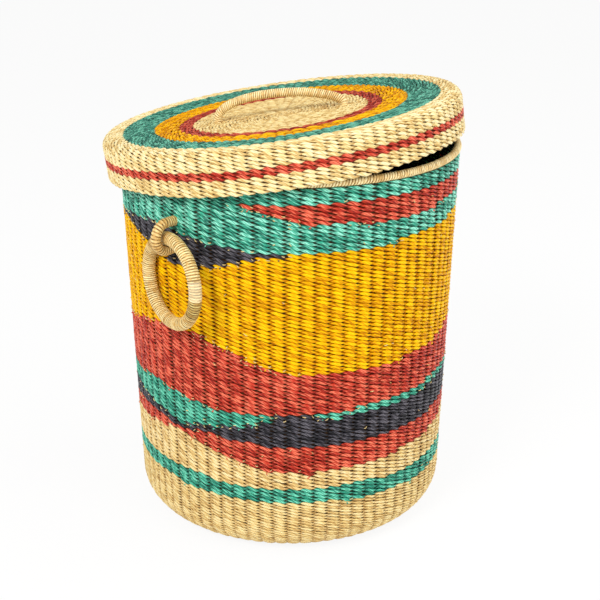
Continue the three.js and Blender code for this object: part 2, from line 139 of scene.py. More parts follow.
# Edges of the dyed courses: azimuth in degrees from the left ring handle, share of the rim's height
RED_WEDGE_TOP_SHARES = [
    (0, 0.94), (54, 0.94), (90, 0.943), (127.5, 0.94), (150, 0.932), (255, 0.936)]
RED_WEDGE_DIP_SHARES = [
    (20, 0), (28, 0.014), (40, 0.039), (50, 0.053), (90, 0.058), (126, 0.042), (153, 0)]
GREEN_FOOT_SHARES = [
    (5, 0.842), (22, 0.828), (40, 0.822), (60, 0.822), (100, 0.836), (135, 0.856), (168, 0.864),
    (185, 0.848), (205, 0.832), (225, 0.826), (260, 0.836), (290, 0.848), (315, 0.842),
    (330, 0.846), (349, 0.86)]
BLACK_FRONT_DIP_SHARES = [
    (-45, 0), (-30, 0.012), (-22, 0.038), (-15, 0.058), (0, 0.088), (7, 0.078), (15, 0.058),
    (24, 0.032), (33, 0.012), (41, 0)]
BLACK_BACK_DIP_SHARES = [
    (144, 0), (165, 0.054), (180, 0.084), (189, 0.08), (210, 0.032), (234, 0)]
YELLOW_FOOT_SHARES = [
    (4, 0.6), (14, 0.576), (24, 0.546), (34, 0.52), (45, 0.506), (54, 0.508), (90, 0.516),
    (120, 0.544), (150, 0.584), (180, 0.604), (198, 0.58), (215, 0.54), (235, 0.508), (260, 0.5),
    (290, 0.524), (310, 0.542), (318, 0.552), (328, 0.567), (338, 0.586), (343, 0.592)]
RED_FOOT_SHARES = [
    (1, 0.412), (15, 0.404), (30, 0.398), (54, 0.404), (90, 0.414), (130, 0.428), (168, 0.43),
    (182, 0.41), (200, 0.4), (240, 0.398), (280, 0.408), (322, 0.422), (348, 0.43)]
GREEN_FRONT_DIP_SHARES = [
    (-81, 0), (-60, 0.028), (-38, 0.05), (-26, 0.062), (-14, 0.08), (-3, 0.084), (9, 0.054),
    (20, 0.038), (30, 0.016), (36, 0)]
GREEN_BACK_DIP_SHARES = [
    (45, 0), (54, 0.018), (81, 0.018), (117, 0.022), (140, 0.046), (165, 0.078), (177, 0.078),
    (190, 0.05), (205, 0.022), (216, 0)]
BLACK_FOOT_SHARES = [
    (9, 0.33), (20, 0.322), (34, 0.316), (54, 0.314), (90, 0.316), (120, 0.322), (150, 0.33),
    (168, 0.336), (177, 0.326), (195, 0.326), (215, 0.316), (240, 0.314), (280, 0.32),
    (322, 0.326), (341, 0.334), (357, 0.324)]
LOWER_RED_FOOT_SHARES = [
    (2, 0.306), (8, 0.292), (18, 0.266), (28, 0.246), (44, 0.238), (54, 0.242), (90, 0.252),
    (125, 0.276), (155, 0.3), (172, 0.31), (185, 0.3), (200, 0.268), (220, 0.242), (250, 0.24),
    (285, 0.26), (322, 0.288), (333, 0.292), (346, 0.306), (354, 0.312)]
STRIPE_TOP_SHARES = [
    (10, 0.2), (54, 0.196), (100, 0.182), (150, 0.186), (220, 0.2), (280, 0.208), (322, 0.21),
    (345, 0.208)]
STRIPE_WIDTH_SHARE = 0.044


def round_table(table, azimuth):
    """A table's share at azimuths in degrees, closed round the basket."""
    rows = np.array(table, float)
    return np.interp(azimuth, rows[:, 0], rows[:, 1], period=360)


def arc_table(table, azimuth):
    """A wedge's share at azimuths in degrees: zero outside its own arc."""
    rows = np.array(table, float)
    turned = rows[0, 0] + (azimuth - rows[0, 0]) % 360
    return np.interp(turned, rows[:, 0], rows[:, 1], left=0, right=0)


def body_course(azimuth, height):
    """Name of the course that each stitch of the wall belongs to."""
    share = height / RIM_HEIGHT
    wedge_top = round_table(RED_WEDGE_TOP_SHARES, azimuth)
    green_foot = round_table(GREEN_FOOT_SHARES, azimuth)
    red_foot = round_table(RED_FOOT_SHARES, azimuth)
    stripe_top = round_table(STRIPE_TOP_SHARES, azimuth)
    floors = [
        ("top_green_course", wedge_top),
        ("red_wedge", wedge_top - arc_table(RED_WEDGE_DIP_SHARES, azimuth)),
        ("green_course", green_foot),
        ("black_wedge_front", green_foot - arc_table(BLACK_FRONT_DIP_SHARES, azimuth)),
        ("black_wedge_back", green_foot - arc_table(BLACK_BACK_DIP_SHARES, azimuth)),
        ("yellow_course", round_table(YELLOW_FOOT_SHARES, azimuth)),
        ("red_course", red_foot),
        ("green_wedge_front", red_foot - arc_table(GREEN_FRONT_DIP_SHARES, azimuth)),
        ("green_wedge_back", red_foot - arc_table(GREEN_BACK_DIP_SHARES, azimuth)),
        ("black_course", round_table(BLACK_FOOT_SHARES, azimuth)),
        ("lower_red_course", round_table(LOWER_RED_FOOT_SHARES, azimuth)),
        ("natural_course", stripe_top),
        ("green_stripe", stripe_top - STRIPE_WIDTH_SHARE),
    ]
    names = [name for name, _ in floors]
    return np.select([share > floor for _, floor in floors], names, "foot_natural_course")


# Meshes
class Maker:
    """Collects swept tubes and makes one mesh of them."""

    def __init__(self):
        self.points, self.loops, self.sizes, self.uvs = [], [], [], []
        # depth is the share of painted shade on woven strands, and the stain on wound straw
        self.values = {"tone": [], "depth": []}
        self.count = 0

    def add(self, grid, u, tone, depth, closed=False, lay=0):
        """Tubes, whose points are a grid of (tubes, sections, sides, 3).

        u, the place along the strand, is (tubes, sections). Tone and depth fit (tubes, sections, sides).
        lay is how far u turns back once round a tube, for straw that is wound as a helix.
        """
        tubes, sections, sides = grid.shape[:3]
        index = self.count + np.arange(tubes * sections * sides).reshape(tubes, sections, sides)
        self.count += index.size
        self.points.append(grid.reshape(-1, 3))
        for key, value in (("tone", tone), ("depth", depth)):
            self.values[key].append(np.broadcast_to(value, grid.shape[:3]).ravel())
        here = index if closed else index[:, :-1]
        ahead = np.roll(index, -1, 1) if closed else index[:, 1:]
        quads = np.stack([here, np.roll(here, -1, 2), np.roll(ahead, -1, 2), ahead], -1)
        self.loops.append(quads.ravel())
        self.sizes.append(np.full(quads.size // 4, 4))
        step = u[:, 1:2] - u[:, :1]
        u_here = u if closed else u[:, :-1]
        u_ahead = np.concatenate([u[:, 1:], u[:, -1:] + step], 1) if closed else u[:, 1:]
        around = np.arange(sides + 1) / sides
        corner = np.empty(quads.shape + (2,))
        for k, (along, shift) in enumerate(((u_here, 0), (u_here, 1), (u_ahead, 1), (u_ahead, 0))):
            corner[..., k, 1] = around[shift:sides + shift]
            corner[..., k, 0] = along[:, :, None] - lay * corner[..., k, 1]
        self.uvs.append(corner.reshape(-1, 2))
        if not closed:
            for cap in (index[:, 0, ::-1], index[:, -1]):
                self.loops.append(cap.ravel())
                self.sizes.append(np.full(tubes, sides))
                self.uvs.append(np.zeros((cap.size, 2)))

    def piece(self, name, material, body, slot, *nodes):
        """One mesh of all the tubes, which rides on a body and takes the place of the CAD's nodes."""
        mesh = bpy.data.meshes.new(name)
        points, loops = np.concatenate(self.points), np.concatenate(self.loops)
        sizes = np.concatenate(self.sizes)
        mesh.vertices.add(len(points))
        mesh.vertices.foreach_set("co", points.astype(np.float32).ravel())
        mesh.loops.add(len(loops))
        mesh.loops.foreach_set("vertex_index", loops.astype(np.int32))
        mesh.polygons.add(len(sizes))
        mesh.polygons.foreach_set("loop_start", (np.cumsum(sizes) - sizes).astype(np.int32))
        layer = mesh.uv_layers.new(name="strand")
        layer.data.foreach_set("uv", np.concatenate(self.uvs).astype(np.float32).ravel())
        for key, values in self.values.items():
            attribute = mesh.attributes.new(key, "FLOAT", "POINT")
            attribute.data.foreach_set("value", np.concatenate(values).astype(np.float32))
        mesh.update(calc_edges=True)
        mesh.validate()
        mesh.shade_smooth()
        mesh.materials.append(material)
        piece = bpy.data.objects.new(name, mesh)
        bpy.context.scene.collection.objects.link(piece)
        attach(piece, body)
        if nodes:
            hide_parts(*nodes)


class Profile:
    """Outer line of a woven shell: (radius, height) points against the distance along it."""

    def __init__(self, points, place):
        self.points = np.array(points)
        steps = np.hypot(*np.diff(self.points, axis=0).T)
        self.at = np.concatenate([[0], np.cumsum(steps)])
        tangent = np.gradient(self.points, self.at, axis=0)
        tangent /= np.linalg.norm(tangent, axis=1)[:, None]
        self.normal = np.stack([tangent[:, 1], -tangent[:, 0]], 1)
        self.place = place

    def line(self, along):
        """Radius and height at distances along the outer line."""
        return (np.interp(along, self.at, self.points[:, 0]),
                np.interp(along, self.at, self.points[:, 1]))

    def point(self, azimuth, along, depth):
        """Points at a depth below the outer line, set in their place in the frame."""
        radius, height = self.line(along)
        radius = radius - depth * np.interp(along, self.at, self.normal[:, 0])
        height = height - depth * np.interp(along, self.at, self.normal[:, 1])
        return self.place(np.stack([radius * np.cos(azimuth), radius * np.sin(azimuth), height], -1))


def arc(centre_r, centre_z, radius, start, end, count):
    """Points of an arc in the (radius, height) plane, its angles in degrees."""
    angles = np.radians(np.linspace(start, end, count))
    return [(centre_r + radius * math.cos(a), centre_z + radius * math.sin(a)) for a in angles]


def wall_radius(height):
    return BASE_RADIUS + (RIM_RADIUS - BASE_RADIUS) * height / RIM_HEIGHT


WALL_TOP = RIM_HEIGHT - 2 * RIM_ROPE_RADIUS
CORNER_CENTRE = wall_radius(CORNER_RADIUS) - CORNER_RADIUS
BASE_POINTS = 30
CORNER_POINTS = 14
WALL_POINTS = 60
body_profile = Profile(
    [(r, 0) for r in np.linspace(0, CORNER_CENTRE, BASE_POINTS)[:-1]]
    + arc(CORNER_CENTRE, CORNER_RADIUS, CORNER_RADIUS, -90, 0, CORNER_POINTS)
    + [(wall_radius(z), z) for z in np.linspace(CORNER_RADIUS, WALL_TOP, WALL_POINTS)[1:]],
    lambda points: points + np.array(AXIS))

SAME_POINT_DIGITS = 5


def lid_frame():
    """The lid's turn and origin, from the middle of its hem border's points and their plane's normal."""
    corners =frame["nodes"]["lid_hem_border"].data.vertices
    found = {tuple(round(x, SAME_POINT_DIGITS) for x in corner.co) for corner in corners}
    points = np.array(sorted(found))
    middle = points.mean(0)
    normal = Vector(np.linalg.svd(points - middle)[2][2])
    if normal.z < 0:
        normal.negate()
    turn = Vector((0, 0, 1)).rotation_difference(normal).to_matrix()
    return np.array(turn), middle - HEM_ROPE_RADIUS * np.array(normal)


LID_TURN, LID_ORIGIN = lid_frame()


def on_lid(points):
    return points @ LID_TURN.T + LID_ORIGIN


def lid_top(radius):
    return LID_HEIGHT - LID_DISH * (1 - (radius / LID_RADIUS) ** 2)


SHOULDER_R = LID_RADIUS - LID_SHOULDER
SHOULDER_FOOT = lid_top(SHOULDER_R) - LID_SHOULDER
SKIRT_POINTS = 8
SHOULDER_POINTS = 8
LID_TOP_POINTS = 40
lid_profile = Profile(
    [(LID_RADIUS, z) for z in np.linspace(0, SHOULDER_FOOT, SKIRT_POINTS)[:-1]]
    + arc(SHOULDER_R, SHOULDER_FOOT, LID_SHOULDER, 0, 90, SHOULDER_POINTS)
    + [(r, lid_top(r)) for r in np.linspace(SHOULDER_R, 0, LID_TOP_POINTS)[1:]],
    on_lid)
LID_TOP_START = lid_profile.at[-1] - SHOULDER_R

# Twining: in each row two strands pass by turns outside and inside the stakes. Between stakes they
# lie one above the other, and at a stake the outer one crosses it from upper left to lower right.
# Shares of the stakes' spacing, of a quarter of the row's pitch, of the dive and of the strand's height.
OUT_SHARES = [
    (-0.66, 1.4, 1, 0.6), (-0.46, 1.3, 0.25, 1.1), (-0.2, 0.78, 0, 1.84), (0.14, -0.7, 0, 1.8),
    (0.32, -1.3, 0.3, 1.1), (0.68, -1.5, 1.1, 0.75)]
IN_SHARES = [(-0.7, -1, 1, 1), (0, 0, 0, 1.5), (0.7, 1, 1, 1)]
OUT_SIDES = 6
IN_SIDES = 4

# A strand stops a little short where the colour changes, and painted shade darkens its edges
BLUNT_SHARE = 0.86
EDGE_SHADE = 0.8

# Length that one unit of a strand's texture covers, and how far a stitch's tone shifts that texture
STRAND_UNIT = 0.01
TONE_SHIFT = 10

# How much the stitches differ: their reach and height as shares, their place and depth as lengths
REACH_SPREAD_SHARE = 0.03
SWELL_SPREAD_SHARE = 0.05
PLACE_SPREAD = 0.0002
DEPTH_SPREAD = 0.00015

# How the stakes wander, in shares of their spacing, and how the rows sway: height, waves and run of each
STAKE_LEAN_SHARE = 0.02
STAKE_WANDER_SHARE = 0.02
STAKE_WANDER_RUN = 0.045
ROW_SWAYS = [(0.0007, 3, 0.05), (0.0004, 7, -0.03)]


class Weave:
    """A shell's strands: how deep they lie below its outer line, and how thick they are.

    fill is half a strand's height as a share of the row's pitch. Where the stakes would stand nearer
    together than closest, every other one ends.
    """

    def __init__(self, stake_depth, end_depth, middle, thick, closest, fill):
        self.stake_depth = stake_depth
        self.end_depth = end_depth
        self.middle = middle
        self.thick = thick
        self.closest = closest
        self.fill = fill


body_weave = Weave(
    stake_depth=0.0014, end_depth=0.0036, middle=0.0046, thick=0.0013, closest=0.0068, fill=0.28)
lid_weave = Weave(
    stake_depth=0.0013, end_depth=0.0031, middle=0.0039, thick=0.0012, closest=0.0096, fill=0.295)


def row_places(start, end, pitch_at):
    """Places and pitches of the rows along a profile, going back from its end."""
    places = []
    at = end
    while True:
        pitch = pitch_at(at)
        at -= pitch / 2
        if at < start:
            return places
        places.append((at, pitch))
        at -= pitch / 2


def stitch_table(profile, weave, rows, most_stakes, seed):
    """A table of the stitches, with six columns.

    They are the azimuth, the place along the profile, the angle between stakes, the row's pitch, the row's
    number, and the place along the profile that the row would have without its sway.
    """
    rng = np.random.default_rng(seed)
    lean = rng.normal(0, STAKE_LEAN_SHARE, most_stakes)
    wave = rng.uniform(0, 2 * math.pi, most_stakes)
    entries = []
    for row, (along, pitch) in enumerate(rows):
        radius = profile.line(along)[0]
        stakes = most_stakes
        while stakes > FEWEST_STAKES and 2 * math.pi * radius / stakes < weave.closest:
            stakes //= 2
        spacing = 2 * math.pi / stakes
        wander = lean[:stakes] + STAKE_WANDER_SHARE * np.sin(along / STAKE_WANDER_RUN + wave[:stakes])
        azimuth = (np.arange(stakes) + 0.5 + wander) * spacing
        sway = sum(height * np.sin(waves * azimuth + along / run) for height, waves, run in ROW_SWAYS)
        entries.append(np.stack([
            azimuth, along + sway, np.full(stakes, spacing), np.full(stakes, pitch), np.full(stakes, row),
            np.full(stakes, along)], 1))
    return np.concatenate(entries)


def colour_ends(stitches, names, looks):
    """Whether the stitch at the left, and at the right, in the same row is of another grass."""
    colours = np.array([looks[name][1] for name in names])
    left, right = np.zeros((2, len(names)), bool)
    for row in np.unique(stitches[:, 4]):
        here = np.flatnonzero(stitches[:, 4] == row)
        left[here] = colours[here] != np.roll(colours[here], 1)
        right[here] = colours[here] != np.roll(colours[here], -1)
    return left, right


def strand_grid(profile, weave, stitches, left, right, outside, rng):
    """Tubes of many stitches at once: (stitches, sections, sides, 3), with what Maker.add needs."""
    share, drop, dive, fat = np.array(OUT_SHARES if outside else IN_SHARES).T
    sides = OUT_SIDES if outside else IN_SIDES
    azimuth, along, spacing, pitch = stitches.T[:4]
    count = len(stitches)
    at_change = np.where(share < 0, left[:, None], right[:, None]) & (dive > 0)
    reach = np.where(at_change, BLUNT_SHARE, 1) * (1 + rng.normal(0, REACH_SPREAD_SHARE, (count, 1)))
    swell = 1 + rng.normal(0, SWELL_SPREAD_SHARE, (count, 1))
    tone = rng.uniform(0, 1, (count, 1))
    shift = rng.normal(0, PLACE_SPREAD, (count, 1))
    turn = azimuth[:, None] + spacing[:, None] * share * reach
    line = along[:, None] + shift + pitch[:, None] / 4 * drop
    depth = weave.stake_depth + (weave.end_depth - weave.stake_depth) * dive
    depth = np.broadcast_to(depth, turn.shape) + rng.normal(0, DEPTH_SPREAD, turn.shape)
    tall = pitch[:, None] * weave.fill * fat * swell
    thick = weave.thick * np.broadcast_to(swell, turn.shape)
    if not outside:
        depth = 2 * weave.middle - depth
    angles = 2 * math.pi * (np.arange(sides) + 0.5) / sides
    ring_line = line[:, :, None] + tall[:, :, None] * np.sin(angles)
    ring_depth = depth[:, :, None] + thick[:, :, None] * np.cos(angles) * (1 if outside else -1)
    ring_turn = np.broadcast_to(turn[:, :, None], ring_line.shape)
    grid = profile.point(ring_turn, ring_line, ring_depth)
    # Painted shade: a strand is darkened more where it dives behind the stakes and towards its inner edges;
    # this goes to the depth value
    edge = (1 + np.cos(angles)) / 2
    deep = 1 - (1 - dive[:, None]) * (1 - EDGE_SHADE * edge)
    if outside:
        grid = grid[:, :, ::-1]
        deep = deep[:, ::-1]
    radius = profile.line(along)[0]
    u = (turn - azimuth[:, None]) * radius[:, None] / STRAND_UNIT + TONE_SHIFT * tone
    return grid, u, tone[:, :, None], deep[None]


# Ends of grass that poke out where a strand of another colour was laid in. Their slant is in radians.
END_LENGTH = 0.0045
END_LENGTH_SHARES = (0.6, 1.2)
END_RADIUS = 0.0006
DYED_END_RADIUS = 0.0011
END_LIFT = 0.0004
END_SLANT = 1.0
END_TONES = (0.3, 1)
END_SIDES = 4
PALE_END_CHANCE = 0.6
DYED_END_CHANCE = 0.5
STRAY_END_CHANCE = 0.012
STAKE_EDGE_SHARE = 0.3
BARE_COURSES = ("base_panel", "base_corner_course")


def end_grid(profile, weave, azimuth, along, thick, rng):
    """Short tubes that lie on the weave, for Maker.add."""
    count = len(azimuth)
    steps = np.array([-0.5, 0.0, 0.5])
    slant = rng.uniform(-END_SLANT, END_SLANT, (count, 1))
    length = END_LENGTH * rng.uniform(*END_LENGTH_SHARES, (count, 1))
    radius = profile.line(along)[0][:, None]
    turn = azimuth[:, None] + length * steps * np.cos(slant) / radius
    line = along[:, None] - length * steps * np.sin(slant)
    depth = weave.stake_depth - weave.thick + 2 * thick * (np.abs(steps) * 2) - END_LIFT
    angles = 2 * math.pi * np.arange(END_SIDES) / END_SIDES
    ring_line = line[:, :, None] + thick * np.sin(angles)
    ring_depth = depth[None, :, None] + thick * np.cos(angles) + np.zeros_like(ring_line)
    grid = profile.point(np.broadcast_to(turn[:, :, None], ring_line.shape), ring_line, ring_depth)
    tone = rng.uniform(*END_TONES, (count, 1, 1))
    return grid[:, :, ::-1], np.broadcast_to(steps, turn.shape), tone, np.zeros((1, 1, 1))


def weave_pieces(profile, weave, stitches, names, body, looks, seed, ends=None):
    """One piece for each course, with its outer and its inner stitches, and pale ends for another piece."""
    left, right = colour_ends(stitches, names, looks)
    for n, name in enumerate(sorted(set(names))):
        rng = np.random.default_rng(seed + n)
        mine = names == name
        chosen = stitches[mine]
        maker = Maker()
        for outside in (True, False):
            maker.add(*strand_grid(profile, weave, chosen, left[mine], right[mine], outside, rng))
        if ends and name not in BARE_COURSES:
            azimuth, along, spacing, pitch = chosen.T[:4]
            edge = left[mine] | right[mine]
            for way in (-1, 1):
                pale = rng.random(len(chosen)) < np.where(edge, PALE_END_CHANCE, STRAY_END_CHANCE)
                place = azimuth + way * spacing * STAKE_EDGE_SHARE
                ends.add(*end_grid(profile, weave, place[pale], along[pale], END_RADIUS, rng))
            dyed = edge & (rng.random(len(chosen)) < DYED_END_CHANCE)
            below = along - pitch
            maker.add(*end_grid(profile, weave, azimuth[dyed], below[dyed], DYED_END_RADIUS, rng))
        material, slot = looks[name]
        maker.piece(f"{name}_weave", material, body, slot, name)


# Stakes: ribs on a thin backing that the strands hide, dark as painted shade. Places round one, as shares of
# the spacing.
RIB_SHARES = [-0.17, -0.07, 0.07, 0.17, 0.5]
RIB_HALF_SHARE = 0.1

# Tone of a piece whose strands all have the same one
EVEN_TONE = 0.5


def stake_shell(name, profile, weave, stakes, start, end, step, body, node):
    """All the stakes of a shell as one closed skin, which goes round it once."""
    count = max(2, round((end - start) / step))
    along = np.linspace(start, end, count)
    azimuth = ((np.arange(stakes)[:, None] + 0.5 + np.array(RIB_SHARES)) * 2 * math.pi / stakes).ravel()
    rib = np.tile(np.where(np.abs(RIB_SHARES) < RIB_HALF_SHARE, 1.0, 0.0), stakes)
    outer = weave.middle - STAKE_SKIN - STAKE_PROUD * rib
    inner = weave.middle + STAKE_SKIN + STAKE_PROUD * rib
    turn, line = np.meshgrid(azimuth, along, indexing="ij")
    outer_points = profile.point(turn, line, outer[:, None])
    inner_points = profile.point(turn, line, inner[:, None])
    loop = np.concatenate([outer_points, inner_points[:, ::-1]], 1)[None, :, ::-1]
    u = np.arange(len(azimuth), dtype=float)[None]
    maker = Maker()
    maker.add(loop, u, EVEN_TONE, 0.0, closed=True)
    maker.piece(name, warp, body, "warp_grass", node)


# Swept tubes
def sweep(points, up, radius, sides, closed):
    """Sections round a line: points (n, 3), up a vector, radius one number or (n, sides)."""
    if closed:
        tangent = np.roll(points, -1, 0) - np.roll(points, 1, 0)
    else:
        tangent = np.gradient(points, axis=0)
    tangent /= np.linalg.norm(tangent, axis=1)[:, None]
    side = np.cross(tangent, np.broadcast_to(up, tangent.shape))
    side /= np.linalg.norm(side, axis=1)[:, None]
    over = np.cross(side, tangent)
    angles = 2 * math.pi * np.arange(sides) / sides
    reach = np.broadcast_to(radius, (len(points), sides))
    return (points[:, None] + reach[..., None] * (
        np.cos(angles)[None, :, None] * side[:, None] + np.sin(angles)[None, :, None] * over[:, None]))


def distances(line):
    """How far along a line each of its points lies."""
    return np.concatenate([[0], np.cumsum(np.linalg.norm(np.diff(line, axis=0), axis=1))])


def wrap_piece(name, points, up, radius, material, body, seed, closed=True, stain=None, pitch=WRAP_PITCH,
               sides=16, starts=1):
    """A tube wound closely with straw, by one or more starts: each turn bulges a little over the next."""
    line = np.concatenate([points, points[:1]]) if closed else points
    at = distances(line)
    turns = round(at[-1] / pitch)
    samples = turns * WRAP_SAMPLES
    wanted = np.linspace(0, at[-1], samples + 1)[:-1] if closed else np.linspace(0, at[-1], samples)
    line = np.stack([np.interp(wanted, at, line[:, k]) for k in range(3)], 1)
    rng = np.random.default_rng(seed)
    wobble = np.cumsum(rng.normal(0, WRAP_WANDER_SHARE, samples))
    wobble -= np.linspace(wobble[0], wobble[-1], samples)
    turn = np.arange(samples) / WRAP_SAMPLES + wobble
    phase = turn[:, None] - starts * np.arange(sides) / sides
    number = np.floor(phase).astype(int) % turns
    crest = np.abs(np.sin(math.pi * phase)) ** WRAP_ROUNDNESS
    reach = radius - WRAP_GROOVE * (1 - crest) + WRAP_LIFT * rng.uniform(-1, 0, turns)[number]
    deep = stain(np.arange(samples) / samples) if stain else np.zeros(samples)
    grid = sweep(line, up, reach, sides, closed)[None]
    maker = Maker()
    maker.add(grid, turn[None], EVEN_TONE, deep[None, :, None], closed, starts)
    maker.piece(f"{name}_wrap", material, body, "wrapped_grass", name)


# Materials
RAMP_PLACES = (0.05, 0.5, 0.95)


def linear(colour):
    """A colour written as #rrggbb, as linear values by the sRGB curve."""
    parts = [int(colour[i:i + 2], 16) / 255 for i in (1, 3, 5)]
    return [c / 12.92 if c <= 0.04045 else ((c + 0.055) / 1.055) ** 2.4 for c in parts] + [1]


class Nodes:
    """Short calls for a material's nodes."""

    def __init__(self, name):
        self.material = bpy.data.materials.new(name)
        self.material.use_nodes = True
        self.tree = self.material.node_tree
        self.shader = self.tree.nodes["Principled BSDF"]

    def add(self, kind, **settings):
        node = self.tree.nodes.new(kind)
        for key, value in settings.items():
            setattr(node, key, value)
        return node

    def plug(self, socket, value):
        """Links another node's output to a socket, or sets the socket's own value."""
        if isinstance(value, bpy.types.NodeSocket):
            self.tree.links.new(value, socket)
        else:
            socket.default_value = value

    def maths(self, operation, *values):
        node = self.add("ShaderNodeMath", operation=operation)
        for socket, value in zip(node.inputs, values):
            self.plug(socket, value)
        return node.outputs[0]

    def value(self, name):
        """A value that Maker gave to the mesh's points."""
        return self.add("ShaderNodeAttribute", attribute_name=name).outputs["Fac"]

    def place(self):
        """The piece's own coordinates."""
        return self.add("ShaderNodeTexCoord").outputs["Object"]

    def strand(self):
        """The place along the strand, and the share of the way round it."""
        split = self.add("ShaderNodeSeparateXYZ")
        self.plug(split.inputs[0], self.add("ShaderNodeUVMap", uv_map="strand").outputs[0])
        return split.outputs[0], split.outputs[1]

    def mix(self, factor, first, second, blend="MIX"):
        node = self.add("ShaderNodeMix", data_type="RGBA", blend_type=blend)
        self.plug(node.inputs[0], factor)
        self.plug(node.inputs[6], first)
        self.plug(node.inputs[7], second)
        return node.outputs[2]

    def noise(self, vector, scale, detail=2.0, rough=0.5):
        node = self.add("ShaderNodeTexNoise")
        self.plug(node.inputs["Vector"], vector)
        node.inputs["Scale"].default_value = scale
        node.inputs["Detail"].default_value = detail
        node.inputs["Roughness"].default_value = rough
        return node.outputs["Fac"]

    def chance(self, number):
        """A random value for a whole number."""
        node = self.add("ShaderNodeTexWhiteNoise", noise_dimensions="1D")
        self.plug(node.inputs["W"], number)
        return node.outputs["Value"]

    def stretched(self, along, across, offset=0, lay=0):
        """The strand's own coordinates, stretched so that noise runs along its blades, which may twist."""
        on_strand, round_strand = self.strand()
        turn = self.maths("MULTIPLY", round_strand, 2 * math.pi)
        turn = self.maths("MULTIPLY_ADD", on_strand, lay, turn)
        join = self.add("ShaderNodeCombineXYZ")
        self.plug(join.inputs[0], self.maths("MULTIPLY", on_strand, along))
        self.plug(join.inputs[1], self.maths("MULTIPLY", self.maths("SINE", turn), across))
        self.plug(join.inputs[2], self.maths("MULTIPLY_ADD", self.maths("COSINE", turn), across, offset))
        return join.outputs[0]

    def ramp(self, pale, dark, middle, light):
        """A blend of three colours: dark where pale is low, and light where it is high."""
        node = self.add("ShaderNodeValToRGB")
        stops = node.color_ramp.elements
        for stop, place, colour in zip(stops, (RAMP_PLACES[0], RAMP_PLACES[-1]), (dark, light)):
            stop.position = place
            stop.color = linear(colour)
        stops.new(RAMP_PLACES[1]).color = linear(middle)
        self.plug(node.inputs[0], pale)
        return node.outputs[0]

    def bump(self, height, strength, distance):
        """Dents the shader's surface by a height."""
        node = self.add("ShaderNodeBump")
        node.inputs["Strength"].default_value = strength
        node.inputs["Distance"].default_value = distance
        self.plug(node.inputs["Height"], height)
        self.plug(self.shader.inputs["Normal"], node.outputs[0])


# Blades in a strand: their twist in radians for each STRAND_UNIT, and the share of its length that their
# noise sees, so that it runs along them
BLADE_LAY = 2.0
BLADE_DRAW = 0.35

# How pale grass is: its level, and what a stitch's tone, the painted shade between its blades and the
# piece's patches add
GRASS_LEVEL = 0.02
TONE_SHARE = 0.26
CREASE_SHADE_SHARE = 0.5
CREASE_SHADE_SHARPNESS = 5
PATCH_SHARE = 0.35
SHADE_POWER = 1.5
GRASS_ROUGH_SPREAD = 0.3


def grass(name, dark, middle, light, roughness, shade_share, streak, gloss):
    """Twisted grass: blades run along the strand, each stitch has its own tone, and painted shade lies in
    its hollows.
    """
    m = Nodes(name)
    blades = m.noise(m.stretched(BLADE_DRAW, 1, lay=BLADE_LAY), scale=1.6, detail=3, rough=0.6)
    # Painted shade: thin dark lines between the blades, where this noise lies near its middle
    crease_shade = m.noise(m.stretched(BLADE_DRAW, 1, offset=7, lay=BLADE_LAY), scale=0.9, detail=1)
    crease_shade = m.maths("ABSOLUTE", m.maths("SUBTRACT", crease_shade, 0.5))
    crease_shade = m.maths("MINIMUM", m.maths("MULTIPLY", crease_shade, CREASE_SHADE_SHARPNESS), 1)
    patch = m.noise(m.place(), scale=20, detail=3)
    pale = m.maths("MULTIPLY_ADD", blades, streak, GRASS_LEVEL - streak / 2)
    pale = m.maths("MULTIPLY_ADD", m.value("tone"), TONE_SHARE, pale)
    pale = m.maths("MULTIPLY_ADD", crease_shade, CREASE_SHADE_SHARE, pale)
    pale = m.maths("MULTIPLY_ADD", patch, PATCH_SHARE, pale)
    colour = m.ramp(pale, dark, middle, light)
    # Painted shade: the colour is multiplied towards the dark one where a strand dives and along its edges
    shade = m.maths("MULTIPLY", m.maths("POWER", m.value("depth"), SHADE_POWER), shade_share)
    m.plug(m.shader.inputs["Base Color"], m.mix(shade, colour, linear(dark), "MULTIPLY"))
    uneven = m.maths("MULTIPLY_ADD", blades, GRASS_ROUGH_SPREAD, roughness - GRASS_ROUGH_SPREAD / 2)
    m.plug(m.shader.inputs["Roughness"], uneven)
    m.shader.inputs["Specular IOR Level"].default_value = gloss
    fibres = m.stretched(BLADE_DRAW, 0.8, offset=3, lay=BLADE_LAY)
    m.bump(m.noise(fibres, scale=2.6, detail=3, rough=0.6), strength=0.6, distance=0.0006)
    return m.material


# How pale wound straw is: its level, and what its patches, its fibres and the turn that it is on add.
# Its grooves are darker than its crests with painted shade, by an amount that changes from place to place.
WRAP_LEVEL = 0.03
WRAP_PATCH_SHARE = 0.5
WRAP_FIBRE_SHARE = 0.3
WRAP_TURN_SHARE = 0.3
CREST_POWER = 0.7
CREST_MIDDLE = 0.7
GROOVE_SHADE_SPREAD = 4.5
GROOVE_SHADE_LEVEL = -1.4
WRAP_ROUGHNESS = 0.36
WRAP_ROUGH_SPREAD = 0.25
WRAP_GLOSS = 0.4
BLEACHED = "#f8ecc8"


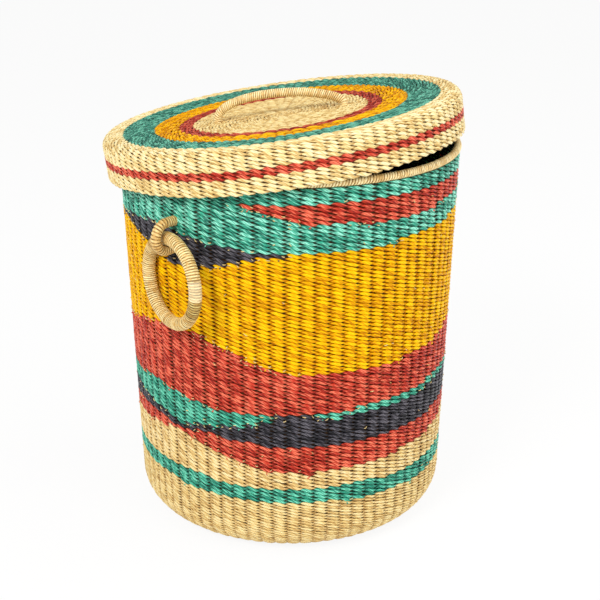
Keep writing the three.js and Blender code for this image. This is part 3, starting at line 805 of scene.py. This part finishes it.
def wrap_grass(name, dark, middle, light, stain):
    """Flat straw round a core: each turn has its own tone, some stretches are stained, grooves get painted
    shade.
    """
    m = Nodes(name)
    fine = m.noise(m.stretched(6, 0.5), scale=1.4, detail=2)
    place = m.place()
    patch = m.noise(place, scale=45, detail=2)
    turn, round_strand = m.strand()
    # Painted shade: grooves between the turns are darker than the crests, by an amount that the specks vary
    crest = m.maths("ABSOLUTE", m.maths("SINE", m.maths("MULTIPLY", turn, math.pi)))
    crest = m.maths("SUBTRACT", m.maths("POWER", crest, CREST_POWER), CREST_MIDDLE)
    number = m.maths("FLOOR", turn)
    first, second = m.chance(number), m.chance(m.maths("ADD", number, 1))
    each = m.maths("MULTIPLY_ADD", m.maths("SUBTRACT", second, first), round_strand, first)
    speck = m.noise(place, scale=230, detail=2)
    contrast = m.maths("MULTIPLY_ADD", speck, GROOVE_SHADE_SPREAD, GROOVE_SHADE_LEVEL)
    pale = m.maths("MULTIPLY_ADD", crest, contrast, WRAP_LEVEL)
    pale = m.maths("MULTIPLY_ADD", fine, WRAP_FIBRE_SHARE, pale)
    pale = m.maths("MULTIPLY_ADD", patch, WRAP_PATCH_SHARE, pale)
    pale = m.maths("MULTIPLY_ADD", each, WRAP_TURN_SHARE, pale)
    stained = m.maths("MAXIMUM", m.value("depth"), 0)
    bleached = m.maths("MAXIMUM", m.maths("MULTIPLY", m.value("depth"), -1), 0)
    colour = m.mix(stained, m.ramp(pale, dark, middle, light), linear(stain), "MULTIPLY")
    m.plug(m.shader.inputs["Base Color"], m.mix(bleached, colour, linear(BLEACHED)))
    m.plug(m.shader.inputs["Roughness"], m.maths("MULTIPLY_ADD", fine, WRAP_ROUGH_SPREAD, WRAP_ROUGHNESS))
    m.shader.inputs["Specular IOR Level"].default_value = WRAP_GLOSS
    m.bump(fine, strength=0.4, distance=0.0004)
    return m.material


# Stakes, coloured dark brown as painted shade between the strands
SHADED_STAKE_DARK = "#38220a"
SHADED_STAKE_LIGHT = "#6e491c"
STAKE_ROUGHNESS = 0.7
STAKE_ROUGH_SPREAD = 0.2


def shaded_stake_grass(name):
    m = Nodes(name)
    # Painted shade: a dark brown mottle for what shows through the gaps between strands
    fibre = m.noise(m.place(), scale=160, detail=3)
    m.plug(m.shader.inputs["Base Color"], m.mix(fibre, linear(SHADED_STAKE_DARK), linear(SHADED_STAKE_LIGHT)))
    m.plug(m.shader.inputs["Roughness"], m.maths("MULTIPLY_ADD", fibre, STAKE_ROUGH_SPREAD, STAKE_ROUGHNESS))
    return m.material


# Grasses: dark, middle and light colour, roughness, share of painted shade, contrast of the blades, gloss
natural = grass("natural_grass", "#b4864a", "#e9ca80", "#fcecbc", 0.5, 0.6, 2.2, 0.25)
lid_natural = grass("lid_natural_grass", "#c89c54", "#f0da96", "#fff4cc", 0.5, 0.5, 2.2, 0.25)
lid_centre = grass("lid_centre_grass", "#b88a44", "#eacd86", "#faeab2", 0.52, 0.65, 2.2, 0.2)
foot_natural = grass("foot_natural_grass", "#b08242", "#e9cb82", "#fbeab4", 0.52, 0.65, 2.2, 0.25)
green = grass("green_grass", "#03463a", "#2eb08f", "#aafae0", 0.42, 0.85, 3.0, 0.35)
low_green = grass("low_green_grass", "#04483c", "#229f80", "#84e6c6", 0.44, 0.85, 2.8, 0.3)
lid_green = grass("lid_green_grass", "#084236", "#207c66", "#80d2b4", 0.45, 0.85, 3.0, 0.2)
yellow = grass("yellow_grass", "#bc7000", "#f4b600", "#fcd80c", 0.45, 0.75, 2.4, 0.08)
lid_yellow = grass("lid_yellow_grass", "#a85e00", "#f0a800", "#fecc08", 0.45, 0.9, 3.0, 0.04)
red = grass("red_grass", "#780c04", "#cc3822", "#fb8866", 0.42, 0.75, 3.0, 0.2)
crimson = grass("crimson_grass", "#6c0e06", "#b02c18", "#e07050", 0.46, 0.85, 2.8, 0.1)
black = grass("black_grass", "#08070a", "#24222a", "#706c74", 0.38, 0.85, 2.6, 0.25)

# Wound straws: dark, middle and light colour, and the stain's
wrap = wrap_grass("wrapped_grass", "#70481a", "#dcb46c", "#fff0ba", "#d4d4b4")
ring_wrap = wrap_grass("ring_wrapped_grass", "#342004", "#c89b4e", "#fce8aa", "#dad8ba")
loop_wrap = wrap_grass("loop_wrapped_grass", "#4a2a08", "#c8994e", "#f2d896", "#8a5a1e")
warp = shaded_stake_grass("warp_grass")

# Material and slot of each course
BODY_LOOKS = {
    "top_green_course": (green, "green_grass"),
    "red_wedge": (red, "red_grass"),
    "green_course": (green, "green_grass"),
    "black_wedge_front": (black, "black_grass"),
    "black_wedge_back": (black, "black_grass"),
    "yellow_course": (yellow, "yellow_grass"),
    "red_course": (red, "red_grass"),
    "green_wedge_front": (low_green, "green_grass"),
    "green_wedge_back": (low_green, "green_grass"),
    "black_course": (black, "black_grass"),
    "lower_red_course": (red, "red_grass"),
    "natural_course": (natural, "natural_grass"),
    "green_stripe": (low_green, "green_grass"),
    "foot_natural_course": (foot_natural, "natural_grass"),
    "base_corner_course": (foot_natural, "natural_grass"),
    "base_panel": (foot_natural, "natural_grass"),
}
LID_LOOKS = {
    "lid_centre": (lid_centre, "natural_grass"),
    "lid_red_ring": (crimson, "crimson_grass"),
    "lid_yellow_ring": (lid_yellow, "yellow_grass"),
    "lid_green_ring": (lid_green, "green_grass"),
    "lid_edge_course": (lid_natural, "natural_grass"),
    "lid_skirt_stripe": (red, "red_grass"),
    "lid_skirt_course": (lid_natural, "natural_grass"),
    "lid_hem_border": (lid_natural, "natural_grass"),
}


# Basket
def body_pitch(along):
    in_foot = body_profile.line(along)[1] <= RIM_HEIGHT * FOOT_ROWS_SHARE
    return FOOT_ROW_PITCH if in_foot else ROW_PITCH


def basket_weave():
    end = body_profile.at[-1]
    rows = row_places(BASE_ROW_START, end, body_pitch)
    stitches = stitch_table(body_profile, body_weave, rows, STAKES, seed=3)
    level = stitches[:, 5]
    height = body_profile.line(level)[1]
    azimuth = np.degrees(stitches[:, 0]) - 180
    names = body_course(azimuth, height)
    names = np.where(height < CORNER_RADIUS, "base_corner_course", names)
    names = np.where(level < CORNER_CENTRE, "base_panel", names)
    ends = Maker()
    weave_pieces(body_profile, body_weave, stitches, names, "basket", BODY_LOOKS, seed=100, ends=ends)
    ends.piece("strand_ends", natural, "basket", "natural_grass")
    stake_shell("warp_stakes", body_profile, body_weave, STAKES, BASE_STAKE_START, end - WALL_STAKE_MARGIN,
                WALL_STAKE_STEP, "basket", "warp_shell")


# Lid
def lid_course(along):
    """Name of the course that each stitch of the lid belongs to."""
    radius, height = lid_profile.line(along)
    share = radius / LID_RADIUS
    on_top = along > LID_TOP_START
    names = np.where(height < STRIPE_HEIGHT - STRIPE_WIDTH / 2, "lid_skirt_course", "lid_edge_course")
    names = np.where(height < 2 * HEM_ROPE_RADIUS, "lid_hem_border", names)
    in_stripe = (np.abs(height - STRIPE_HEIGHT) <= STRIPE_WIDTH / 2) & ~on_top
    names = np.where(in_stripe, "lid_skirt_stripe", names)
    for limit, name in ((GREEN_RING_SHARE, "lid_green_ring"), (YELLOW_RING_SHARE, "lid_yellow_ring"),
                        (RED_RING_SHARE, "lid_red_ring"), (CENTRE_SHARE, "lid_centre")):
        names = np.where(on_top & (share < limit), name, names)
    return names


def lid_pitch(along):
    return LID_ROW_PITCH if along > LID_TOP_START else SKIRT_ROW_PITCH


def lid_weave_pieces():
    end = lid_profile.at[-1]
    rows = row_places(HEM_ROW_START, end - LID_ROW_MARGIN, lid_pitch)
    stitches = stitch_table(lid_profile, lid_weave, rows, LID_STAKES, seed=5)
    names = lid_course(stitches[:, 5])
    weave_pieces(lid_profile, lid_weave, stitches, names, "lid", LID_LOOKS, seed=200)
    stake_shell("lid_warp_stakes", lid_profile, lid_weave, LID_STAKES, LID_STAKE_MARGIN,
                end - LID_STAKE_MARGIN, LID_STAKE_STEP, "lid", "lid_warp")


# Rim: the stakes' ends bound round with straw
def rim_border():
    radius = RIM_RADIUS + RIM_PROUD - RIM_ROPE_RADIUS
    turn = 2 * math.pi * np.arange(RIM_STEPS) / RIM_STEPS
    height = np.full(RIM_STEPS, RIM_HEIGHT - RIM_ROPE_RADIUS)
    line = np.stack([radius * np.cos(turn), radius * np.sin(turn), height], 1)
    wrap_piece("rim_border", body_profile.place(line), (0, 0, 1), RIM_ROPE_RADIUS, wrap, "basket", seed=16,
               pitch=RIM_WRAP_PITCH, sides=12, starts=2)


# Ring handles and their loops
def middle_of(node):
    low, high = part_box(node)
    return np.array((low + high) / 2)


# The ring was finished with a length of grey green straw, then one of bleached straw. Places and half
# lengths are shares of the way round it, and the sharpness says how quickly each begins and ends.
GREY_PLACE_SHARE = 0.939
GREY_HALF_SHARE = 0.038
GREY_SHARPNESS = 5
CREAM_PLACE_SHARE = 0.007
CREAM_HALF_SHARE = 0.04
CREAM_SHARPNESS = 2
CREAM_LEVEL = 0.35


def ring_stain(share):
    """The stain at shares of the way round a ring: grey above zero, bleached below."""
    from_grey = np.abs(share - GREY_PLACE_SHARE)
    from_cream = np.abs((share - CREAM_PLACE_SHARE - 0.5) % 1 - 0.5)
    grey = np.clip(GREY_SHARPNESS * (1 - from_grey / GREY_HALF_SHARE), 0, 1)
    cream = np.clip(CREAM_SHARPNESS * (1 - from_cream / CREAM_HALF_SHARE), 0, CREAM_LEVEL)
    return grey - cream


# Keeps the cosine off zero where a loop's straight runs start
NUDGE = 1e-6


def ring_handles():
    turn = 2 * math.pi * np.arange(RING_STEPS) / RING_STEPS
    up = np.array([0, 0, 1])
    for side, out, ring_seed, loop_seed in (("left", -1, 11, 13), ("right", 1, 12, 14)):
        along = out * np.array([-math.sin(RING_TWIST), math.cos(RING_TWIST), 0])
        line = middle_of(f"ring_handle_{side}") + RING_RADIUS * (
            np.cos(turn)[:, None] * along + np.sin(turn)[:, None] * up)
        wrap_piece(f"ring_handle_{side}", line, np.cross(along, up), RING_TUBE, ring_wrap, f"ring_{side}",
                   ring_seed, stain=ring_stain, pitch=RING_WRAP_PITCH)

        low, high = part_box(f"ring_loop_{side}")
        half_run = (high.x - low.x) / 2 - LOOP_BEND - LOOP_TUBE
        bend_radius = LOOP_BEND + LOOP_SWELL
        run = half_run * np.sign(np.cos(turn + NUDGE)) + bend_radius * np.cos(turn)
        line = middle_of(f"ring_loop_{side}") + np.stack(
            [run, np.zeros(RING_STEPS), bend_radius * np.sin(turn)], 1)
        wrap_piece(f"ring_loop_{side}", line, (0, 1, 0), LOOP_TUBE + LOOP_SWELL, loop_wrap, "basket",
                   loop_seed, pitch=LOOP_WRAP_PITCH)


# Lid handle: share of the half span and of the rise. The arch is fuller at one end.
HANDLE_ARCH_SHARES = [
    (-1, 0), (-0.99, 0.24), (-0.9, 0.56), (-0.68, 0.84), (-0.4, 0.98), (-0.1, 1), (0.3, 0.9),
    (0.62, 0.69), (0.89, 0.4), (0.99, 0.18), (1, 0)]


def smooth_line(points, steps):
    """Centripetal Catmull-Rom curve through points."""
    points = np.array(points, float)
    ends = [2 * points[0] - points[1], *points, 2 * points[-1] - points[-2]]
    found = []
    for p0, p1, p2, p3 in zip(ends, ends[1:], ends[2:], ends[3:]):
        t0 = 0
        t1 = t0 + math.sqrt(np.linalg.norm(p1 - p0))
        t2 = t1 + math.sqrt(np.linalg.norm(p2 - p1))
        t3 = t2 + math.sqrt(np.linalg.norm(p3 - p2))
        for t in np.linspace(t1, t2, steps, endpoint=False):
            a1 = (t1 - t) / (t1 - t0) * p0 + (t - t0) / (t1 - t0) * p1
            a2 = (t2 - t) / (t2 - t1) * p1 + (t - t1) / (t2 - t1) * p2
            a3 = (t3 - t) / (t3 - t2) * p2 + (t - t2) / (t3 - t2) * p3
            b1 = (t2 - t) / (t2 - t0) * a1 + (t - t0) / (t2 - t0) * a2
            b2 = (t3 - t) / (t3 - t1) * a2 + (t - t1) / (t3 - t1) * a3
            found.append((t2 - t) / (t2 - t1) * b1 + (t - t1) / (t2 - t1) * b2)
    found.append(ends[-2])
    return np.array(found)


def along_handle(across, height):
    """A point of the lid's frame in the upright plane of the handle."""
    return np.array([across * math.cos(HANDLE_AZIMUTH), across * math.sin(HANDLE_AZIMUTH), height])


def lid_handle():
    half = HANDLE_SPAN / 2
    foot = lid_top(half)
    arch = [along_handle(across * half, foot + up * HANDLE_RISE) for across, up in HANDLE_ARCH_SHARES]
    tail = np.array([0, 0, HANDLE_TAIL])
    line = on_lid(smooth_line([arch[0] - tail, *arch, arch[-1] - tail], ARCH_STEPS))
    normal = LID_TURN @ np.array([-math.sin(HANDLE_AZIMUTH), math.cos(HANDLE_AZIMUTH), 0])
    wrap_piece("lid_handle", line, normal, HANDLE_TUBE, wrap, "lid", seed=15, closed=False, starts=3)
    turn = 2 * math.pi * BINDING_TURNS * np.arange(BINDING_STEPS) / BINDING_STEPS
    height = foot - BINDING_DEPTH - BINDING_STRAND - turn / (2 * math.pi) * BINDING_PITCH
    helix = np.stack([BINDING_REACH * np.cos(turn), BINDING_REACH * np.sin(turn), height], 1)
    for number, end in ((1, -1), (2, 1)):
        name = f"lid_handle_binding_{number}"
        line = along_handle(end * half, 0) + helix
        maker = Maker()
        grid = on_lid(sweep(line, (0, 0, 1), BINDING_STRAND, BINDING_SIDES, False)[None])
        maker.add(grid, turn[None], EVEN_TONE, 0.0)
        maker.piece(f"{name}_wrap", loop_wrap, "lid", "wrapped_grass", name)


def aimed(name, data, place, aim):
    """An object that looks from its place at its aim."""
    thing = bpy.data.objects.new(name, data)
    thing.location = place
    thing.rotation_mode = "QUATERNION"
    thing.rotation_quaternion = (Vector(aim) - Vector(place)).to_track_quat("-Z", "Y")
    bpy.context.scene.collection.objects.link(thing)
    return thing


# Camera at the photograph's angle: lens and sensor in millimetres
CAMERA_PLACE = (-1.20141, -0.97944, 0.85090)
CAMERA_AIM = (0.00828, -0.01727, 0.2736)
LENS = 72.48
SENSOR = 36


def camera():
    data = bpy.data.cameras.new("camera")
    data.sensor_width = SENSOR
    data.lens = LENS
    bpy.context.scene.camera = aimed("camera", data, CAMERA_PLACE, CAMERA_AIM)


# Floor, lamps and world
FLOOR_HALF = 9.0
FLOOR_COLOUR = "#f4f4f2"
FLOOR_ROUGHNESS = 0.9
FLOOR_GLOW = 0.9
WORLD_LEVEL = 0.6

# Each lamp's name, place, aim, size and power in watts
LAMPS = [
    ("key", (-2.5, -0.3, 2.4), (0, 0, 0.3), 1.1, 62),
    ("fill", (0.2, -2.6, 1.8), (0, 0, 0.3), 2.0, 27),
    ("right", (1.6, -1.3, 2.4), (0, 0, 0.5), 1.2, 18)]


def floor():
    """A pale floor that keeps shadows: it glows only to the camera and in mirrored or seen-through rays."""
    mesh = bpy.data.meshes.new("floor")
    corners = [(x * FLOOR_HALF, y * FLOOR_HALF, 0) for x, y in ((-1, -1), (1, -1), (1, 1), (-1, 1))]
    mesh.from_pydata(corners, [], [(0, 1, 2, 3)])
    thing = bpy.data.objects.new("floor", mesh)
    bpy.context.scene.collection.objects.link(thing)
    m = Nodes("floor")
    m.shader.inputs["Base Color"].default_value = linear(FLOOR_COLOUR)
    m.shader.inputs["Roughness"].default_value = FLOOR_ROUGHNESS
    path = m.add("ShaderNodeLightPath")
    seen = m.maths("MAXIMUM", path.outputs["Is Camera Ray"], path.outputs["Is Glossy Ray"])
    seen = m.maths("MAXIMUM", seen, path.outputs["Is Transmission Ray"])
    glow = m.add("ShaderNodeEmission")
    glow.inputs["Color"].default_value = (1, 1, 1, 1)
    mixed = m.add("ShaderNodeMixShader")
    m.plug(mixed.inputs[0], m.maths("MULTIPLY", seen, FLOOR_GLOW))
    m.plug(mixed.inputs[1], m.shader.outputs[0])
    m.plug(mixed.inputs[2], glow.outputs[0])
    m.plug(m.tree.nodes["Material Output"].inputs[0], mixed.outputs[0])
    mesh.materials.append(m.material)


def lamp(name, place, aim, size, power):
    data = bpy.data.lights.new(name, "AREA")
    data.shape = "SQUARE"
    data.size = size
    data.energy = power
    aimed(name, data, place, aim)


def world():
    """Plain light, a little brighter where the camera sees it."""
    made = bpy.data.worlds.new("world")
    bpy.context.scene.world = made
    made.use_nodes = True
    tree = made.node_tree
    background = tree.nodes["Background"]
    background.inputs["Color"].default_value = (1, 1, 1, 1)
    path = tree.nodes.new("ShaderNodeLightPath")
    seen = tree.nodes.new("ShaderNodeMath")
    seen.operation = "MAXIMUM"
    tree.links.new(path.outputs["Is Camera Ray"], seen.inputs[0])
    tree.links.new(path.outputs["Is Transmission Ray"], seen.inputs[1])
    strength = tree.nodes.new("ShaderNodeMapRange")
    strength.inputs["To Min"].default_value = WORLD_LEVEL
    strength.inputs["To Max"].default_value = 1.0
    tree.links.new(seen.outputs[0], strength.inputs["Value"])
    tree.links.new(strength.outputs[0], background.inputs["Strength"])


camera()
basket_weave()
lid_weave_pieces()
rim_border()
ring_handles()
lid_handle()
floor()
for settings in LAMPS:
    lamp(*settings)
world()
bpy.context.scene.view_settings.view_transform = "Standard"
